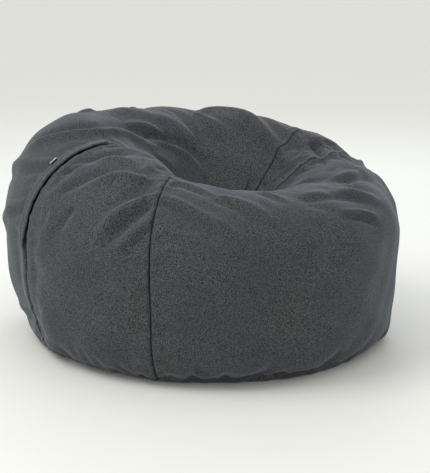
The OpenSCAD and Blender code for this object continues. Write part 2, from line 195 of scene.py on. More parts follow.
# A fold runs through (phi, v) points, starts at the first and dies away towards the last. It has
# the ridge's height, its half width, and the depth of the hollow beside it: on its left if above 0,
# on its right if below 0, all in millimetres.
FOLDS = [
    # from the top of the flap into the seat hollow
    ([(128, 2.45), (136, 2.7), (139, 2.86), (140, 3.0), (134, 3.15), (117, 3.3), (98, 3.41), (86, 3.5),
      (81, 3.66)], 11, 15, 6),
    # left gore, under the flap
    ([(163, 2.5), (167, 2.68), (173, 2.85), (181, 2.98), (192, 3.12)], -17, 24, 0),
    ([(160, 2.5), (164, 2.62), (170, 2.72), (178, 2.79), (187, 2.86), (198, 2.94)], 8, 11, 0),
    ([(161, 2.42), (165, 2.54), (170, 2.63), (177, 2.7)], 5, 9, 0),
    ([(168, 2.4), (175, 2.52), (183, 2.68), (192, 2.8)], -9, 13, 0),
    ([(200, 2.86), (194, 2.76), (187, 2.68), (182, 2.55), (175, 2.42)], 8, 12, 0),
    # left gore, from the front left seam
    ([(205, 2.69), (200, 2.57), (196, 2.46), (192, 2.3), (190, 2.15), (188, 2.0)], 9, 13, 0),
    ([(205, 2.58), (200, 2.42), (196, 2.27), (192, 2.12)], -9, 13, 0),
    ([(206, 2.46), (202, 2.3), (197, 2.18), (192, 2.05)], 7, 10, 0),
    ([(206, 2.36), (202, 2.2), (198, 2.08)], -5, 12, 0),
    ([(178, 2.34), (176, 2.24), (173, 2.12)], -7, 10, 0),
    ([(171, 2.3), (170, 2.18), (168, 2.05)], 3, 14, 0),
    # front gore
    ([(207, 2.68), (215, 2.6), (222, 2.5), (228, 2.4), (234, 2.28)], 8, 12, -6),
    ([(225, 2.84), (232, 2.74), (238, 2.6), (243, 2.44)], 7, 13, -5),
    ([(207, 2.9), (214, 2.92), (222, 2.88), (230, 2.8)], 5, 10, -4),
    ([(254, 2.86), (262, 2.82), (270, 2.79), (278, 2.7), (286, 2.5), (292, 2.3)], 7, 14, -6),
    ([(262, 2.5), (270, 2.47), (277, 2.38), (282, 2.28)], 5, 9, -4),
    ([(284, 3.04), (294, 2.9), (305, 2.76), (314, 2.6)], 8, 15, -6),
    ([(244, 3.02), (247, 2.9), (252, 2.78)], 4, 10, -3),
    ([(266, 2.46), (272, 2.45), (277, 2.37), (281, 2.26)], 4, 8, -4),
    ([(317, 2.5), (310, 2.4), (303, 2.25), (298, 2.1)], 6, 13, 5),
    ([(317, 2.2), (311, 2.1), (304, 1.95)], 5, 12, 4),
    # back gore, in the hollow
    ([(112, 3.06), (88, 3.12), (70, 3.22), (58, 3.36), (44, 3.45), (28, 3.54), (5, 3.64)], 11, 24, 0),
    ([(108, 3.24), (94, 3.26), (84, 3.31), (77, 3.38)], 8, 10, 0),
    ([(98, 3.32), (86, 3.35), (76, 3.41), (68, 3.48)], -9, 9, 0),
    ([(96, 3.38), (82, 3.41), (69, 3.47), (60, 3.56), (52, 3.68)], 10, 11, 0),
    ([(80, 3.35), (67, 3.41), (56, 3.49), (45, 3.6)], -9, 13, 0),
    ([(106, 3.44), (96, 3.5), (88, 3.58)], 6, 12, 0),
    ([(46, 2.98), (28, 3.04), (12, 3.15), (352, 3.29), (334, 3.36), (318, 3.4)], 8, 17, 8),
    ([(46, 3.12), (36, 3.24), (24, 3.34), (14, 3.44)], 6, 13, 5),
    # the deep crease between the backrest and the right arm
    ([(338, 2.97), (335, 3.04), (328, 3.09), (318, 3.13), (306, 3.16), (292, 3.15), (278, 3.1)],
     -12, 15, 0),
    ([(350, 2.98), (345, 3.05), (337, 3.12), (326, 3.17), (312, 3.2)], 7, 15, 0),
    # right gore
    ([(320, 2.62), (327, 2.5), (333, 2.34), (336, 2.15)], 6, 12, 5),
    ([(320, 2.84), (328, 2.79), (336, 2.78), (342, 2.82)], 5, 11, 4),
    ([(343, 2.4), (337, 2.3), (331, 2.14)], 4, 11, 3),
    # back gore, outside
    ([(154, 2.62), (140, 2.5), (126, 2.36), (114, 2.18)], 7, 14, 5),
    ([(155, 2.3), (145, 2.2), (134, 2.06), (126, 1.9)], 6, 13, 5),
    ([(346, 2.72), (359, 2.62), (12, 2.48), (22, 2.3)], 7, 13, -6),
    ([(346, 2.4), (356, 2.3), (6, 2.14), (12, 2.0)], 6, 12, -5),
    ([(346, 1.9), (358, 1.8), (10, 1.66)], 5, 13, -4),
    ([(32, 2.92), (40, 2.74), (50, 2.54), (58, 2.34)], 7, 14, -5),
    ([(100, 2.96), (98, 2.78), (93, 2.58), (86, 2.4)], 7, 15, -5),
    ([(72, 2.94), (70, 2.74), (66, 2.54)], 6, 14, -4),
    ([(154, 1.7), (142, 1.6), (128, 1.46)], 4, 14, 3),
]
FOLD_STEPS = 10
FOLD_STRENGTH = 1.45
FOLD_START, FOLD_END = 0.14, 0.45  # shares of a fold over which it starts and dies away
FOLD_WIDENS = 0.6


def curve_through(points, steps):
    """A smooth line through the points, with this many steps between each two."""
    points = np.array(points, float)
    points[:, 0] = np.degrees(np.unwrap(np.radians(points[:, 0])))
    ends = np.vstack([2 * points[0] - points[1], points, 2 * points[-1] - points[-2]])
    line = [points[0]]
    for a, b, c, d in zip(ends, ends[1:], ends[2:], ends[3:]):
        for t in np.arange(1, steps + 1) / steps:
            line.append(0.5 * (2 * b + (c - a) * t + (2 * a - 5 * b + 4 * c - d) * t * t
                               + (3 * b - a - 3 * c + d) * t ** 3))
    return np.array(line)


def fold_lift(places):
    """How far all the folds lift the body at these points."""
    lift = np.zeros(len(places))
    for points, height, width, hollow in FOLDS:
        way = curve_through(points, FOLD_STEPS)
        line = plain_skin(way[:, 0], way[:, 1])
        left = np.cross(outward(way[:, 0], way[:, 1]), np.gradient(line, axis=0))
        left /= np.linalg.norm(left, axis=1, keepdims=True)
        reach = 6 * width * MM
        inside = (places > line.min(0) - reach) & (places < line.max(0) + reach)
        near = np.flatnonzero(inside.all(1))
        if not len(near):
            continue
        apart = places[near][:, None] - line[None]
        nearest = (apart ** 2).sum(2).argmin(1)
        apart = apart[np.arange(len(near)), nearest]
        aside = (apart * left[nearest]).sum(1)
        square = (apart ** 2).sum(1)
        share = nearest / (len(line) - 1)
        strength = eased(share / FOLD_START) * eased((1 - share) / FOLD_END)
        half = width * MM * (1 + FOLD_WIDENS * share)
        offset = 1.7 * half * np.sign(hollow)
        beside = np.exp(-(square - 2 * aside * offset + offset ** 2) / half ** 2)
        ridge = height * np.exp(-square / half ** 2) - abs(hollow) * beside
        lift[near] += FOLD_STRENGTH * MM * strength * ridge
    return lift


def swell_lift(phi, v):
    return sum(lift * bump(phi - at, spread) * np.exp(-((v - at_v) / spread_v) ** 2)
               for at, at_v, spread, spread_v, lift in SWELLS)


def ripple(places):
    """Slight unevenness of loose filling behind cloth, from waves that never line up."""
    x, y, z = places.T
    return 0.0016 * (np.sin(23 * x + 11 * y + 7 * z) + np.sin(-13 * x + 29 * y + 17 * z + 1.3)
                     + np.sin(31 * x - 19 * y + 37 * z + 2.1) * 0.8
                     + np.sin(47 * x + 41 * y - 29 * z + 0.7) * 0.5)


def seam_reach(phi, v):
    """Distance in metres to the nearest of the four seams."""
    middle = np.clip(v - 3, 0, 1)[..., None] * SEAT[:2]
    radius = np.linalg.norm(plain_skin(phi, v)[..., :2] - middle, axis=-1)
    turn = np.min([abs(wrap(phi - seam)) for seam in SEAMS], axis=0)
    return radius * np.radians(turn)


def gathers(phi, v):
    """Small puckers beside the seams and round the base."""
    apart = seam_reach(phi, v)
    wave = np.sin(61 * v) + np.sin(97 * v + 1.1) * 0.7 + np.sin(37 * v + phi * 0.05) * 0.8
    beside = 0.0009 * wave * np.exp(-(apart / 0.030) ** 2) * np.minimum(apart / 0.006, 1)
    base_wave = np.sin(np.radians(phi) * 41) + np.sin(np.radians(phi) * 67 + 2) * 0.6
    at_base = 0.0016 * base_wave * np.exp(-((v - 1.12) / 0.12) ** 2)
    return beside + at_base


ZIP_CLEAR, ZIP_FADE = 0.030, 0.035  # no folds this near the zip, and the width over which they come back


def off_zip(phi):
    """Distance in metres from the zip's seam, across it."""
    return belly_r(phi) * abs(np.sin(np.radians(wrap(phi - SEAM_BL))))


def kept_off(phi, v):
    """1 on the open cover, and 0 where folds would stand in the way of the zip or the base."""
    angle = np.clip(v - 2, -0.4, 1.4)
    along = eased((angle + 0.4) / 0.25) * eased((1.25 - angle) / 0.25)
    zip_free = 1 - along * (1 - eased((off_zip(phi) - ZIP_CLEAR) / ZIP_FADE))
    return zip_free * eased((v - 1) / 0.12) * eased((4.02 - v) / 0.2)


settled = None  # (rows of v, columns of phi, how far each point moved), once the cloth has settled


def settling(phi, v):
    if settled is None:
        return 0
    rows, columns, moved = settled
    row = np.interp(v, rows, np.arange(len(rows)))
    column = (phi % 360) / 360 * (len(columns) - 1)
    i = np.minimum(row.astype(int), len(rows) - 2)
    k = np.minimum(column.astype(int), len(columns) - 2)
    a, b = (row - i)[..., None], (column - k)[..., None]
    low, high = mix(moved[i, k], moved[i, k + 1], b), mix(moved[i + 1, k], moved[i + 1, k + 1], b)
    return mix(low, high, a)


def soft_lift(phi, v, places):
    flat = places.reshape(-1, 3)
    soft = (fold_lift(flat) + ripple(flat)).reshape(phi.shape) + swell_lift(phi, v)
    return soft * kept_off(phi, v) + gathers(phi, v)


def folded_skin(phi, v):
    """The cover's face with its swells and folds, before the cloth has settled."""
    phi, v = np.broadcast_arrays(np.asarray(phi, float), np.asarray(v, float))
    places = plain_skin(phi, v)
    return places + outward(phi, v) * soft_lift(phi, v, places)[..., None]


def cover_skin(phi, v):
    phi, v = np.broadcast_arrays(np.asarray(phi, float), np.asarray(v, float))
    return folded_skin(phi, v) + settling(phi, v)


def lining_skin(phi, v, depth):
    """A layer under the cover, which follows its hollows and stays a little clear of them."""
    places = plain_skin(phi, v)
    lift = soft_lift(phi, v, places)
    lift = np.where(lift < 0, HOLLOW_ROOM * lift, 0.6 * lift)
    inward = outward(phi, v)
    moved = settling(phi, v)
    if settled is not None:
        moved = inward * np.minimum((moved * inward).sum(-1), 0)[..., None]
    return places + inward * (lift - depth)[..., None] + moved


# ---- Meshes ----

def finished(bm, name, body, material, replaces=(), smooth=True):
    """Turns a bmesh into a piece that rides on a body and stands for its CAD nodes."""
    mesh = bpy.data.meshes.new(name)
    bm.to_mesh(mesh)
    bm.free()
    mesh.materials.append(material)
    mesh.polygons.foreach_set("use_smooth", [smooth] * len(mesh.polygons))
    piece = bpy.data.objects.new(name, mesh)
    bpy.context.scene.collection.objects.link(piece)
    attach(piece, body)
    if replaces:
        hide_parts(*replaces)
    return piece


def add_modifier(piece, kind, **settings):
    modifier = piece.modifiers.new(kind.title(), kind)
    for name, value in settings.items():
        setattr(modifier, name, value)


def thicken(piece, thickness):
    add_modifier(piece, "SOLIDIFY", thickness=thickness, offset=-1, use_even_offset=False)


def grid(places):
    """A bmesh grid laid through an array of points, row by row."""
    rows, columns = places.shape[:2]
    bm = bmesh.new()
    bmesh.ops.create_grid(bm, x_segments=columns - 1, y_segments=rows - 1, size=1)
    for vertex, place in zip(bm.verts, places.reshape(-1, 3)):
        vertex.co = place
    return bm


def mark(bm, name, values):
    """Gives each point of a grid its own number, for a finish to read."""
    layer = bm.verts.layers.float.new(name)
    for vertex, value in zip(bm.verts, values.ravel()):
        vertex[layer] = value


def on_arc(angle, radius, across=0.0):
    """A point in the zip's frame: an angle up its arc, a distance from its middle, and across it."""
    a = math.radians(angle)
    return ZIP_MIDDLE + (ZIP_OUT * math.cos(a) + ZIP_UP * math.sin(a)) * radius + ZIP_ACROSS * across


# ---- The cloth settles over its filling ----

SETTLE_ROWS, SETTLE_COLUMNS = 84, 176
SETTLE_FRAMES = 20
SETTLE_MOST = 0.011    # metres that a point may move
SETTLE_LEVEL = 1.15    # share of the average swelling that is taken off again, so the bag keeps its size
SETTLE_PRESSURE = 4
SETTLE_GROWTH = -0.035  # below 0, the cloth is that share wider than the filling it lies on


def held_still(phi, v):
    """1 where the cover is sewn down and can't move, and less beside it."""
    sewn = np.exp(-(seam_reach(phi, v) / 0.012) ** 2)
    ends = 1 - eased((v - 1.03) / 0.12) * eased((PATCH_V - 0.04 - v) / 0.12)
    return np.maximum(np.maximum(sewn, ends), 1 - kept_off(phi, v).clip(0, 1))


def settle():
    """Runs the whole cover as one cloth, blown up a little, and keeps how far each point moved."""
    phi, v = np.meshgrid(np.linspace(0, 360, SETTLE_COLUMNS + 1), np.linspace(1, PATCH_V, SETTLE_ROWS))
    bm = grid(folded_skin(phi, v))
    number = bm.verts.layers.int.new("number")
    for i, vertex in enumerate(bm.verts):
        vertex[number] = i
    bmesh.ops.remove_doubles(bm, verts=bm.verts, dist=0.00005)
    numbers = np.array([vertex[number] for vertex in bm.verts])
    mesh = bpy.data.meshes.new("settling_cover")
    bm.to_mesh(mesh)
    bm.free()
    cover = bpy.data.objects.new("settling_cover", mesh)
    bpy.context.scene.collection.objects.link(cover)
    hold_grid = held_still(phi, v)
    hold = hold_grid.ravel()[numbers]
    sewn = cover.vertex_groups.new(name="sewn")
    for i, share in enumerate(hold):
        sewn.add([i], float(share), "REPLACE")
    cloth = cover.modifiers.new("Cloth", "CLOTH")
    ways = cloth.settings
    ways.vertex_group_mass = "sewn"
    ways.quality, ways.mass = 5, 0.3
    ways.tension_stiffness = ways.compression_stiffness = 25
    ways.shear_stiffness, ways.bending_stiffness = 10, 0.6
    ways.use_pressure, ways.uniform_pressure_force = True, SETTLE_PRESSURE
    ways.shrink_min = SETTLE_GROWTH
    ways.effector_weights.gravity = 0
    cloth.point_cache.frame_end = SETTLE_FRAMES
    for step in range(1, SETTLE_FRAMES + 1):
        bpy.context.scene.frame_set(step)
    shown = cover.evaluated_get(bpy.context.evaluated_depsgraph_get()).to_mesh()
    before, after = (np.empty(len(numbers) * 3) for _ in range(2))
    mesh.vertices.foreach_get("co", before)
    shown.vertices.foreach_get("co", after)
    apart = (after - before).reshape(-1, 3)
    far = np.linalg.norm(apart, axis=1, keepdims=True)
    apart *= np.minimum(1, SETTLE_MOST * np.tanh(far / SETTLE_MOST) / np.maximum(far, 1e-9))
    moved = np.full((phi.size, 3), np.nan)
    moved[numbers] = apart * (1 - hold[:, None])
    moved = moved.reshape(*phi.shape, 3)
    edge = np.where(np.isnan(moved[:, 0]), moved[:, -1], moved[:, 0])
    moved[:, 0] = moved[:, -1] = edge
    normal, free = outward(phi, v), (1 - hold_grid)[..., None]
    swelling = (moved * normal).sum(-1)[hold_grid < 0.1].mean()
    moved -= SETTLE_LEVEL * swelling * normal * free
    bpy.data.objects.remove(cover)
    bpy.data.meshes.remove(mesh)
    bpy.context.scene.frame_set(1)
    return v[:, 0], phi[0], moved


settled = settle()


# ---- The gores ----

COVER_T, LINER_T, LAYER_GAP = 0.003, 0.001, 0.0015
SEAM_GAP = 0.0006
ZIP_LIP = 0.0054          # half of the slit between the lips over the zip
ZIP_LIP_LOW, ZIP_LIP_HIGH = 1.92, 3.02
SEAM_STEPS = (0, 0.0012, 0.003, 0.006, 0.011, 0.018)  # columns beside a seam, metres from the edge
SEAM_SINK = {SEAM_FL: 0.0065, SEAM_BL: 0.0125, SEAM_BR: 0.004, SEAM_FR: 0.003}
SEAM_ROUND = 0.0042
# SEAM_SHADE is the width of the painted shade along each seam
SEAM_SHADE = 0.0029
COLUMN_STEP = ROW_STEP = 0.0075
LOWER_LENGTH, UPPER_LENGTH, SEAT_LENGTH = 0.46, 0.42, 0.42  # up the body, for the number of rows
GORE_RADIUS = 0.53


def seam_half_gap(seam, v):
    """How far a gore's edge stays from the middle of its seam."""
    if seam != SEAM_BL:
        return np.full_like(v, SEAM_GAP)
    opened = eased((v - ZIP_LIP_LOW) / 0.03) * eased((ZIP_LIP_HIGH + 0.1 - v) / 0.1)
    return mix(SEAM_GAP, ZIP_LIP, opened)


def seam_turn(phi, v, apart):
    """The angle that stands for a distance from the seam."""
    places = plain_skin(phi, v)
    radius = np.hypot(places[..., 0] - SEAT[0] * np.clip(v - 3, 0, 1),
                      places[..., 1] - SEAT[1] * np.clip(v - 3, 0, 1))
    return np.degrees(np.arcsin(np.minimum(0.9, apart / radius)))


def gore_places(start, end):
    """phi, v and the distance from the nearer edge, for a gore from one seam to the next."""
    rows = np.concatenate([
        np.linspace(1, 2, round(LOWER_LENGTH / ROW_STEP), endpoint=False),
        np.linspace(2, 3, round(UPPER_LENGTH / ROW_STEP), endpoint=False),
        np.linspace(3, PATCH_V, round(SEAT_LENGTH / ROW_STEP))])
    wide = math.radians(end - start) * GORE_RADIUS
    inner = max(6, round(wide / COLUMN_STEP))
    v = rows[:, None]
    edges = []
    for seam, side in ((start, 1), (end, -1)):
        first = seam_half_gap(seam % 360, v)
        apart = first + np.array(SEAM_STEPS)[None]
        turn = seam_turn(np.full_like(v, seam), v, apart)
        edges.append(seam + side * turn)
    left, right = edges[0], edges[1][:, ::-1]
    between = np.linspace(0, 1, inner + 2)[None, 1:-1]
    phi = np.hstack([left, mix(left[:, -1:], right[:, :1], between), right])
    depth = np.zeros(phi.shape[1])
    depth[:len(SEAM_STEPS)] = SEAM_STEPS
    depth[-len(SEAM_STEPS):] = SEAM_STEPS[::-1]
    depth[len(SEAM_STEPS):-len(SEAM_STEPS)] = 1
    return phi, np.broadcast_to(v, phi.shape), np.broadcast_to(depth, phi.shape)


def turned_in(places, normals, edge_distance, seams):
    """Rolls a gore's two edges in at their seams."""
    columns = np.arange(places.shape[1])
    depth = np.where(columns < len(columns) / 2, SEAM_SINK[seams[0] % 360], SEAM_SINK[seams[1] % 360])
    sink = depth * np.exp(-(edge_distance / SEAM_ROUND) ** 1.5)
    return places - normals * sink[..., None]


def cover_gore(name, start, end):
    phi, v, edge = gore_places(start, end)
    places = cover_skin(phi, v)
    places = turned_in(places, outward(phi, v), edge, (start, end))
    places[..., 2] = np.maximum(places[..., 2], 0.0002)
    bm = grid(places)
    # at_seam: how strongly the painted seam shade darkens each point
    mark(bm, "at_seam", np.exp(-(edge / SEAM_SHADE) ** 2))
    piece = finished(bm, "cover_" + name, "bag", boucle, [name])
    thicken(piece, COVER_T)


def closed_ring(places):
    """A grid whose first and last columns meet, and whose last row may meet in a point."""
    bm = grid(places)
    bmesh.ops.remove_doubles(bm, verts=bm.verts, dist=0.00005)
    return bm


PATCH_SINK = 0.006


def seat_patch():
    phi, v = np.meshgrid(np.linspace(0, 360, 97), np.linspace(PATCH_V + 0.006, 4, 10))
    places = cover_skin(phi, v)
    places = mix(places, np.array(SEAT) + settling(np.array([0.0]), np.array([4.0])),
                 eased((v - PATCH_V) / 0.12)[..., None] ** 4)
    places[..., 2] -= PATCH_SINK * np.exp(-((v - v.min()) / 0.006) ** 1.5)
    bm = closed_ring(places)
    piece = finished(bm, "cover_seat_patch", "bag", boucle, ["seat_patch"])
    thicken(piece, COVER_T)


def base_panel():
    """The flat piece on the floor, with the seam that joins it to the gores."""
    columns, rows = 200, 26
    share, phi = np.meshgrid(np.linspace(1, 0, rows), np.linspace(0, 360, columns + 1), indexing="ij")
    edge = base_r(phi) - COVER_T - 0.0015
    places = np.stack([share * edge * cosd(phi), share * edge * sind(phi),
                       0.0003 * np.sin(40 * share) ** 2], -1)
    bm = closed_ring(places[::-1])
    piece = finished(bm, "cover_base", "bag", base_cloth, ["base_panel"])
    thicken(piece, COVER_T)


# ---- The zip, its flap and the label ----

def arc_strip(profile, start, end, steps):
    """A bmesh made by turning a closed profile of (radius, across) points up the zip's arc."""
    bm = bmesh.new()
    bmesh.ops.create_circle(bm, cap_ends=True, segments=len(profile), radius=1)
    for vertex, (radius, across) in zip(bm.verts, profile):
        vertex.co = on_arc(start, radius, across)
    bmesh.ops.spin(bm, geom=bm.verts[:] + bm.edges[:] + bm.faces[:], cent=ZIP_MIDDLE, axis=-ZIP_ACROSS,
                   dvec=(0, 0, 0), angle=math.radians(end - start), steps=steps, use_merge=False,
                   use_normal_flip=False, use_duplicate=False)
    bmesh.ops.recalc_face_normals(bm, faces=bm.faces)
    return bm


def arc_place(point):
    """Angle, radius and distance across of a point in the zip's frame."""
    apart = Vector(point) - ZIP_MIDDLE
    out, up = apart.dot(ZIP_OUT), apart.dot(ZIP_UP)
    return math.degrees(math.atan2(up, out)), math.hypot(out, up), apart.dot(ZIP_ACROSS)


# The flap's section: height over the cover and distance across the zip, in millimetres
FLAP_SECTION = [(4.2, -13.0), (5.8, -13.3), (8.0, -11.8), (8.8, -8.4), (8.7, -3), (8.0, 2), (7.8, 8),
                (8.4, 14), (8.8, 19), (8.2, 23.5), (6.2, 27), (3.4, 30), (0.6, 32.5), (-1.6, 34.5),
                (-2.2, 33), (0.4, 29), (2.0, 25.5), (4.6, 22.5), (5.4, 19), (5.3, 12), (5.2, 4), (5.2, -4),
                (5.2, -8.6), (4.6, -11.4)]
FLAP_TUCK = 14  # degrees over which the flap narrows into its seam at the low end
FLAP_UNDER = 5.0  # height in millimetres of its inner layer


def zip_flap():
    """A strip of cloth folded double, sewn to the back gore, with its free edge over the zip."""
    def place(angle, height, across):
        low, high = eased((angle - FLAP_LOW) / FLAP_TUCK), eased((FLAP_HIGH - angle) / 5)
        wave = (math.sin(angle * 0.31) + 0.7 * math.sin(angle * 0.73 + 1)
                + 0.5 * math.sin(angle * 1.37 + 2))
        edge = eased((10 - across) / 20)
        if height > FLAP_UNDER:
            height = mix(FLAP_UNDER, height, 0.55 + 0.45 * low * high) + 0.4 * wave * (0.4 + edge)
        across = mix(16, across, 0.42 + 0.58 * low) + 0.5 * wave * edge * low
        return on_arc(angle, ZIP_R + height * MM, across * MM)

    places = np.array([[place(angle, *point) for point in FLAP_SECTION + FLAP_SECTION[:1]]
                       for angle in np.linspace(FLAP_LOW, FLAP_HIGH, 151)])
    bm = closed_ring(places)
    bmesh.ops.holes_fill(bm, edges=bm.edges, sides=0)
    bmesh.ops.recalc_face_normals(bm, faces=bm.faces)
    piece = finished(bm, "zip_flap_cloth", "bag", boucle, ["zip_flap"])


COIL_TOP, COIL_T, COIL_W, COIL_GAP, TAPE_T = 0.0049, 0.0032, 0.0018, 0.0012, 0.0008
TAPE_W = 0.014
COIL_MID = COIL_TOP + COIL_T / 2
COIL_END = COIL_GAP / 2 + COIL_W
TOOTH_PITCH = 0.0016
STOP_ANGLE = 0.9


def tape_profile(side, middle, width):
    """The section of one tape: a flat strip, rounded along its outer edge."""
    low, high = middle - TAPE_T / 2, middle + TAPE_T / 2
    return [(low, side * COIL_END), (low, side * (COIL_END + width * 0.5)),
            (low + 0.0001, side * (COIL_END + width * 0.97)), (middle, side * (COIL_END + width)),
            (high - 0.0001, side * (COIL_END + width * 0.97)), (high, side * (COIL_END + width * 0.5)),
            (high, side * COIL_END)]


def zip_tape(name, side):
    profile = tape_profile(side, ZIP_R - COIL_MID, TAPE_W)
    bm = arc_strip(profile, ZIP_LOW - 1, ZIP_HIGH + 1, 90)
    piece = finished(bm, name + "_cloth", "bag", zip_cloth, [name], smooth=False)


def tooth_row(bm, count, place):
    """Rounded teeth, each where place(i) puts it."""
    for i in range(count):
        bmesh.ops.create_cube(bm, size=1, matrix=place(i))
    bmesh.ops.bevel(bm, geom=bm.edges[:], offset=0.00028, segments=1, profile=0.5, affect="EDGES",
                    material=-1)


def frame_matrix(place, out, up, across, sizes):
    columns = [out * sizes[0], up * sizes[1], across * sizes[2]]
    return Matrix([[*row, at] for row, at in zip(zip(*columns), place)] + [[0, 0, 0, 1]])


def zip_coil(name, side):
    start, end = ZIP_LOW + STOP_ANGLE, ZIP_HIGH - STOP_ANGLE
    radius = ZIP_R - COIL_MID
    count = int(math.radians(end - start) * radius / TOOTH_PITCH)
    turn = (end - start) / count

    def place(i):
        angle = start + (i + 0.5) * turn
        a = math.radians(angle)
        out = ZIP_OUT * math.cos(a) + ZIP_UP * math.sin(a)
        up = ZIP_UP * math.cos(a) - ZIP_OUT * math.sin(a)
        middle = on_arc(angle, radius, side * (COIL_GAP / 2 + COIL_W / 2))
        return frame_matrix(middle, out, up, ZIP_ACROSS, (COIL_T, TOOTH_PITCH * 0.62, COIL_W))

    bm = bmesh.new()
    tooth_row(bm, count, place)
    core_low, core_high = radius - 0.0009, radius + 0.0009
    across0, across1 = side * (COIL_GAP / 2 + 0.0009), side * (COIL_END - 0.0001)
    section = [(core_low, across0), (core_high, across0), (core_high, across1), (core_low, across1)]
    core = arc_strip(section, start, end, 90)
    core_mesh = bpy.data.meshes.new("core")
    core.to_mesh(core_mesh)
    core.free()
    bm.from_mesh(core_mesh)
    bpy.data.meshes.remove(core_mesh)
    finished(bm, name + "_teeth", "bag", coil_plastic, [name], smooth=False)


def rounded_copy(node, name, body, material, rounding):
    """A copy of a hard CAD node with its edges rounded, which stands for it."""
    bm = bmesh.new()
    bm.from_mesh(nodes[node].data)
    bmesh.ops.remove_doubles(bm, verts=bm.verts, dist=0.00002)
    bmesh.ops.dissolve_limit(bm, angle_limit=math.radians(4), verts=bm.verts, edges=bm.edges)
    sharp = [edge for edge in bm.edges
             if len(edge.link_faces) == 2 and edge.calc_face_angle() > math.radians(40)]
    bmesh.ops.bevel(bm, geom=sharp, offset=rounding, segments=2, profile=0.5, affect="EDGES", material=-1,
                    clamp_overlap=True)
    bmesh.ops.recalc_face_normals(bm, faces=bm.faces)
    finished(bm, name, body, material, [node], smooth=False)


def side_label():
    """A ribbon folded into a loop, which stands out of the flap's outer face."""
    low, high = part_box("side_label")
    centre_angle, _, across = arc_place((low + high) / 2)
    half, foot, top = 0.011, ZIP_R + 0.0060, ZIP_R + 0.0193
    side = [(foot, 0.00035), (foot + 0.004, 0.0006), (top - 0.002, 0.0007), (top - 0.0005, 0.0005)]
    loop = [(radius, -offset) for radius, offset in side] + [(top, 0)] + side[::-1]
    places = np.array([[on_arc(centre_angle + math.degrees(along * half / ZIP_R), radius,
                               across + offset + 0.0008 * math.sin(2.2 * along + radius * 300))
                        for radius, offset in loop] for along in np.linspace(-1, 1, 15)])
    bm = grid(places)
    layer = bm.verts.layers.float.new("stripe")
    for vertex in bm.verts:
        _, radius, _ = arc_place(vertex.co)
        vertex[layer] = (radius - foot) / (top - foot)
    bmesh.ops.recalc_face_normals(bm, faces=bm.faces)
    piece = finished(bm, "side_label_ribbon", "bag", label_cloth, ["side_label"])
    add_modifier(piece, "SOLIDIFY", thickness=0.0003, offset=0)


# ---- The inner bag and the filling ----

INNER_STEP = 0.012
INNER_BASE_Z = 0.012
LINER_IN = COVER_T + LAYER_GAP
FILL_IN = LINER_IN + LINER_T + LAYER_GAP
FILL_Z = float(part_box("bead_fill")[0].z)
ZIP_ROOM, ZIP_ROOM_W = 0.014, 0.024
HOLLOW_ROOM = 1.4
SEAM_ROOM, SEAM_ROOM_W = 0.013, 0.015
ZIP_BACKING, SEAM_BACKING = 0.026, 0.012  # half widths of the cover's dark cloth folded in behind a seam


def inner_skin(phi, v, inside, floor):
    """A layer this far inside the cover, pushed in along the zip and flat over the floor."""
    phi, v = np.broadcast_arrays(np.asarray(phi, float), np.asarray(v, float))
    push = ZIP_ROOM * np.exp(-(off_zip(phi) / ZIP_ROOM_W) ** 4) * eased((v - 1) / 0.6) * eased(4 - v)
    at_seam = np.exp(-(seam_reach(phi, v) / SEAM_ROOM_W) ** 2) * eased((PATCH_V - v) / 0.2)
    depth = inside + SEAM_ROOM * at_seam + push
    places = lining_skin(phi, v, depth)
    places[..., 2] = np.maximum(places[..., 2], floor + 0.5 * inside * np.clip(v - 1, 0, 1))
    return places


def inner_gore(name, start, end):
    rows = np.concatenate([np.linspace(1, 2, 38, endpoint=False), np.linspace(2, 3, 38, endpoint=False),
                           np.linspace(3, PATCH_V, 36)])[:, None]
    columns = max(12, round(math.radians(end - start) * 0.5 / INNER_STEP)) + 1
    share = eased(np.linspace(0, 1, columns)) * 0.35 + np.linspace(0, 1, columns) * 0.65
    gap = 0.1
    phi = start + gap + (end - start - 2 * gap) * share[None]
    phi, v = np.broadcast_arrays(phi, rows)
    places = inner_skin(phi, v, LINER_IN + 0.0006, INNER_BASE_Z)
    node = "inner_bag_" + name
    bm = grid(places)
    behind_zip = np.exp(-(belly_r(phi) * np.radians(wrap(phi - SEAM_BL)) / ZIP_BACKING) ** 4)
    behind_seam = np.exp(-(seam_reach(phi, v) / SEAM_BACKING) ** 4)
    by_patch = eased((v - PATCH_V + 0.09) / 0.05)
    mark(bm, "behind_seam", np.maximum(np.maximum(behind_zip, behind_seam), by_patch))
    piece = finished(bm, node + "_cloth", "bag", lining, [node])
    thicken(piece, LINER_T)


def inner_patch():
    phi, v = np.meshgrid(np.linspace(0, 360, 73), np.linspace(PATCH_V + 0.004, 4, 6))
    places = inner_skin(phi, v, LINER_IN + 0.0006, INNER_BASE_Z)
    places[-1] = places[-1].mean(0)
    bm = grid(places)
    mark(bm, "behind_seam", eased((PATCH_V + 0.06 - v) / 0.03))
    bmesh.ops.remove_doubles(bm, verts=bm.verts, dist=0.00005)
    piece = finished(bm, "inner_bag_patch_cloth", "bag", lining, ["inner_bag_patch"])
    thicken(piece, LINER_T)


def inner_base():
    """The inner bag's flat base, with the slot that its zip closes."""
    slot_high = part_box("inner_zip_tape_back")[1]
    half_slot = (slot_high.x + 0.002, slot_high.y + 0.001)
    columns, rows = 160, 14
    share, phi = np.meshgrid(np.linspace(0, 1, rows), np.linspace(0, 360, columns + 1), indexing="ij")
    edge = base_r(phi) - LINER_IN - LINER_T - 0.001
    slot = oval(phi, *half_slot, 12)
    radius = mix(slot, edge, share)
    places = np.stack([radius * cosd(phi), radius * sind(phi),
                       np.full_like(radius, INNER_BASE_Z + LINER_T)], -1)[::-1]
    piece = finished(closed_ring(places), "inner_bag_base_cloth", "bag", lining, ["inner_bag_base"])
    thicken(piece, LINER_T)


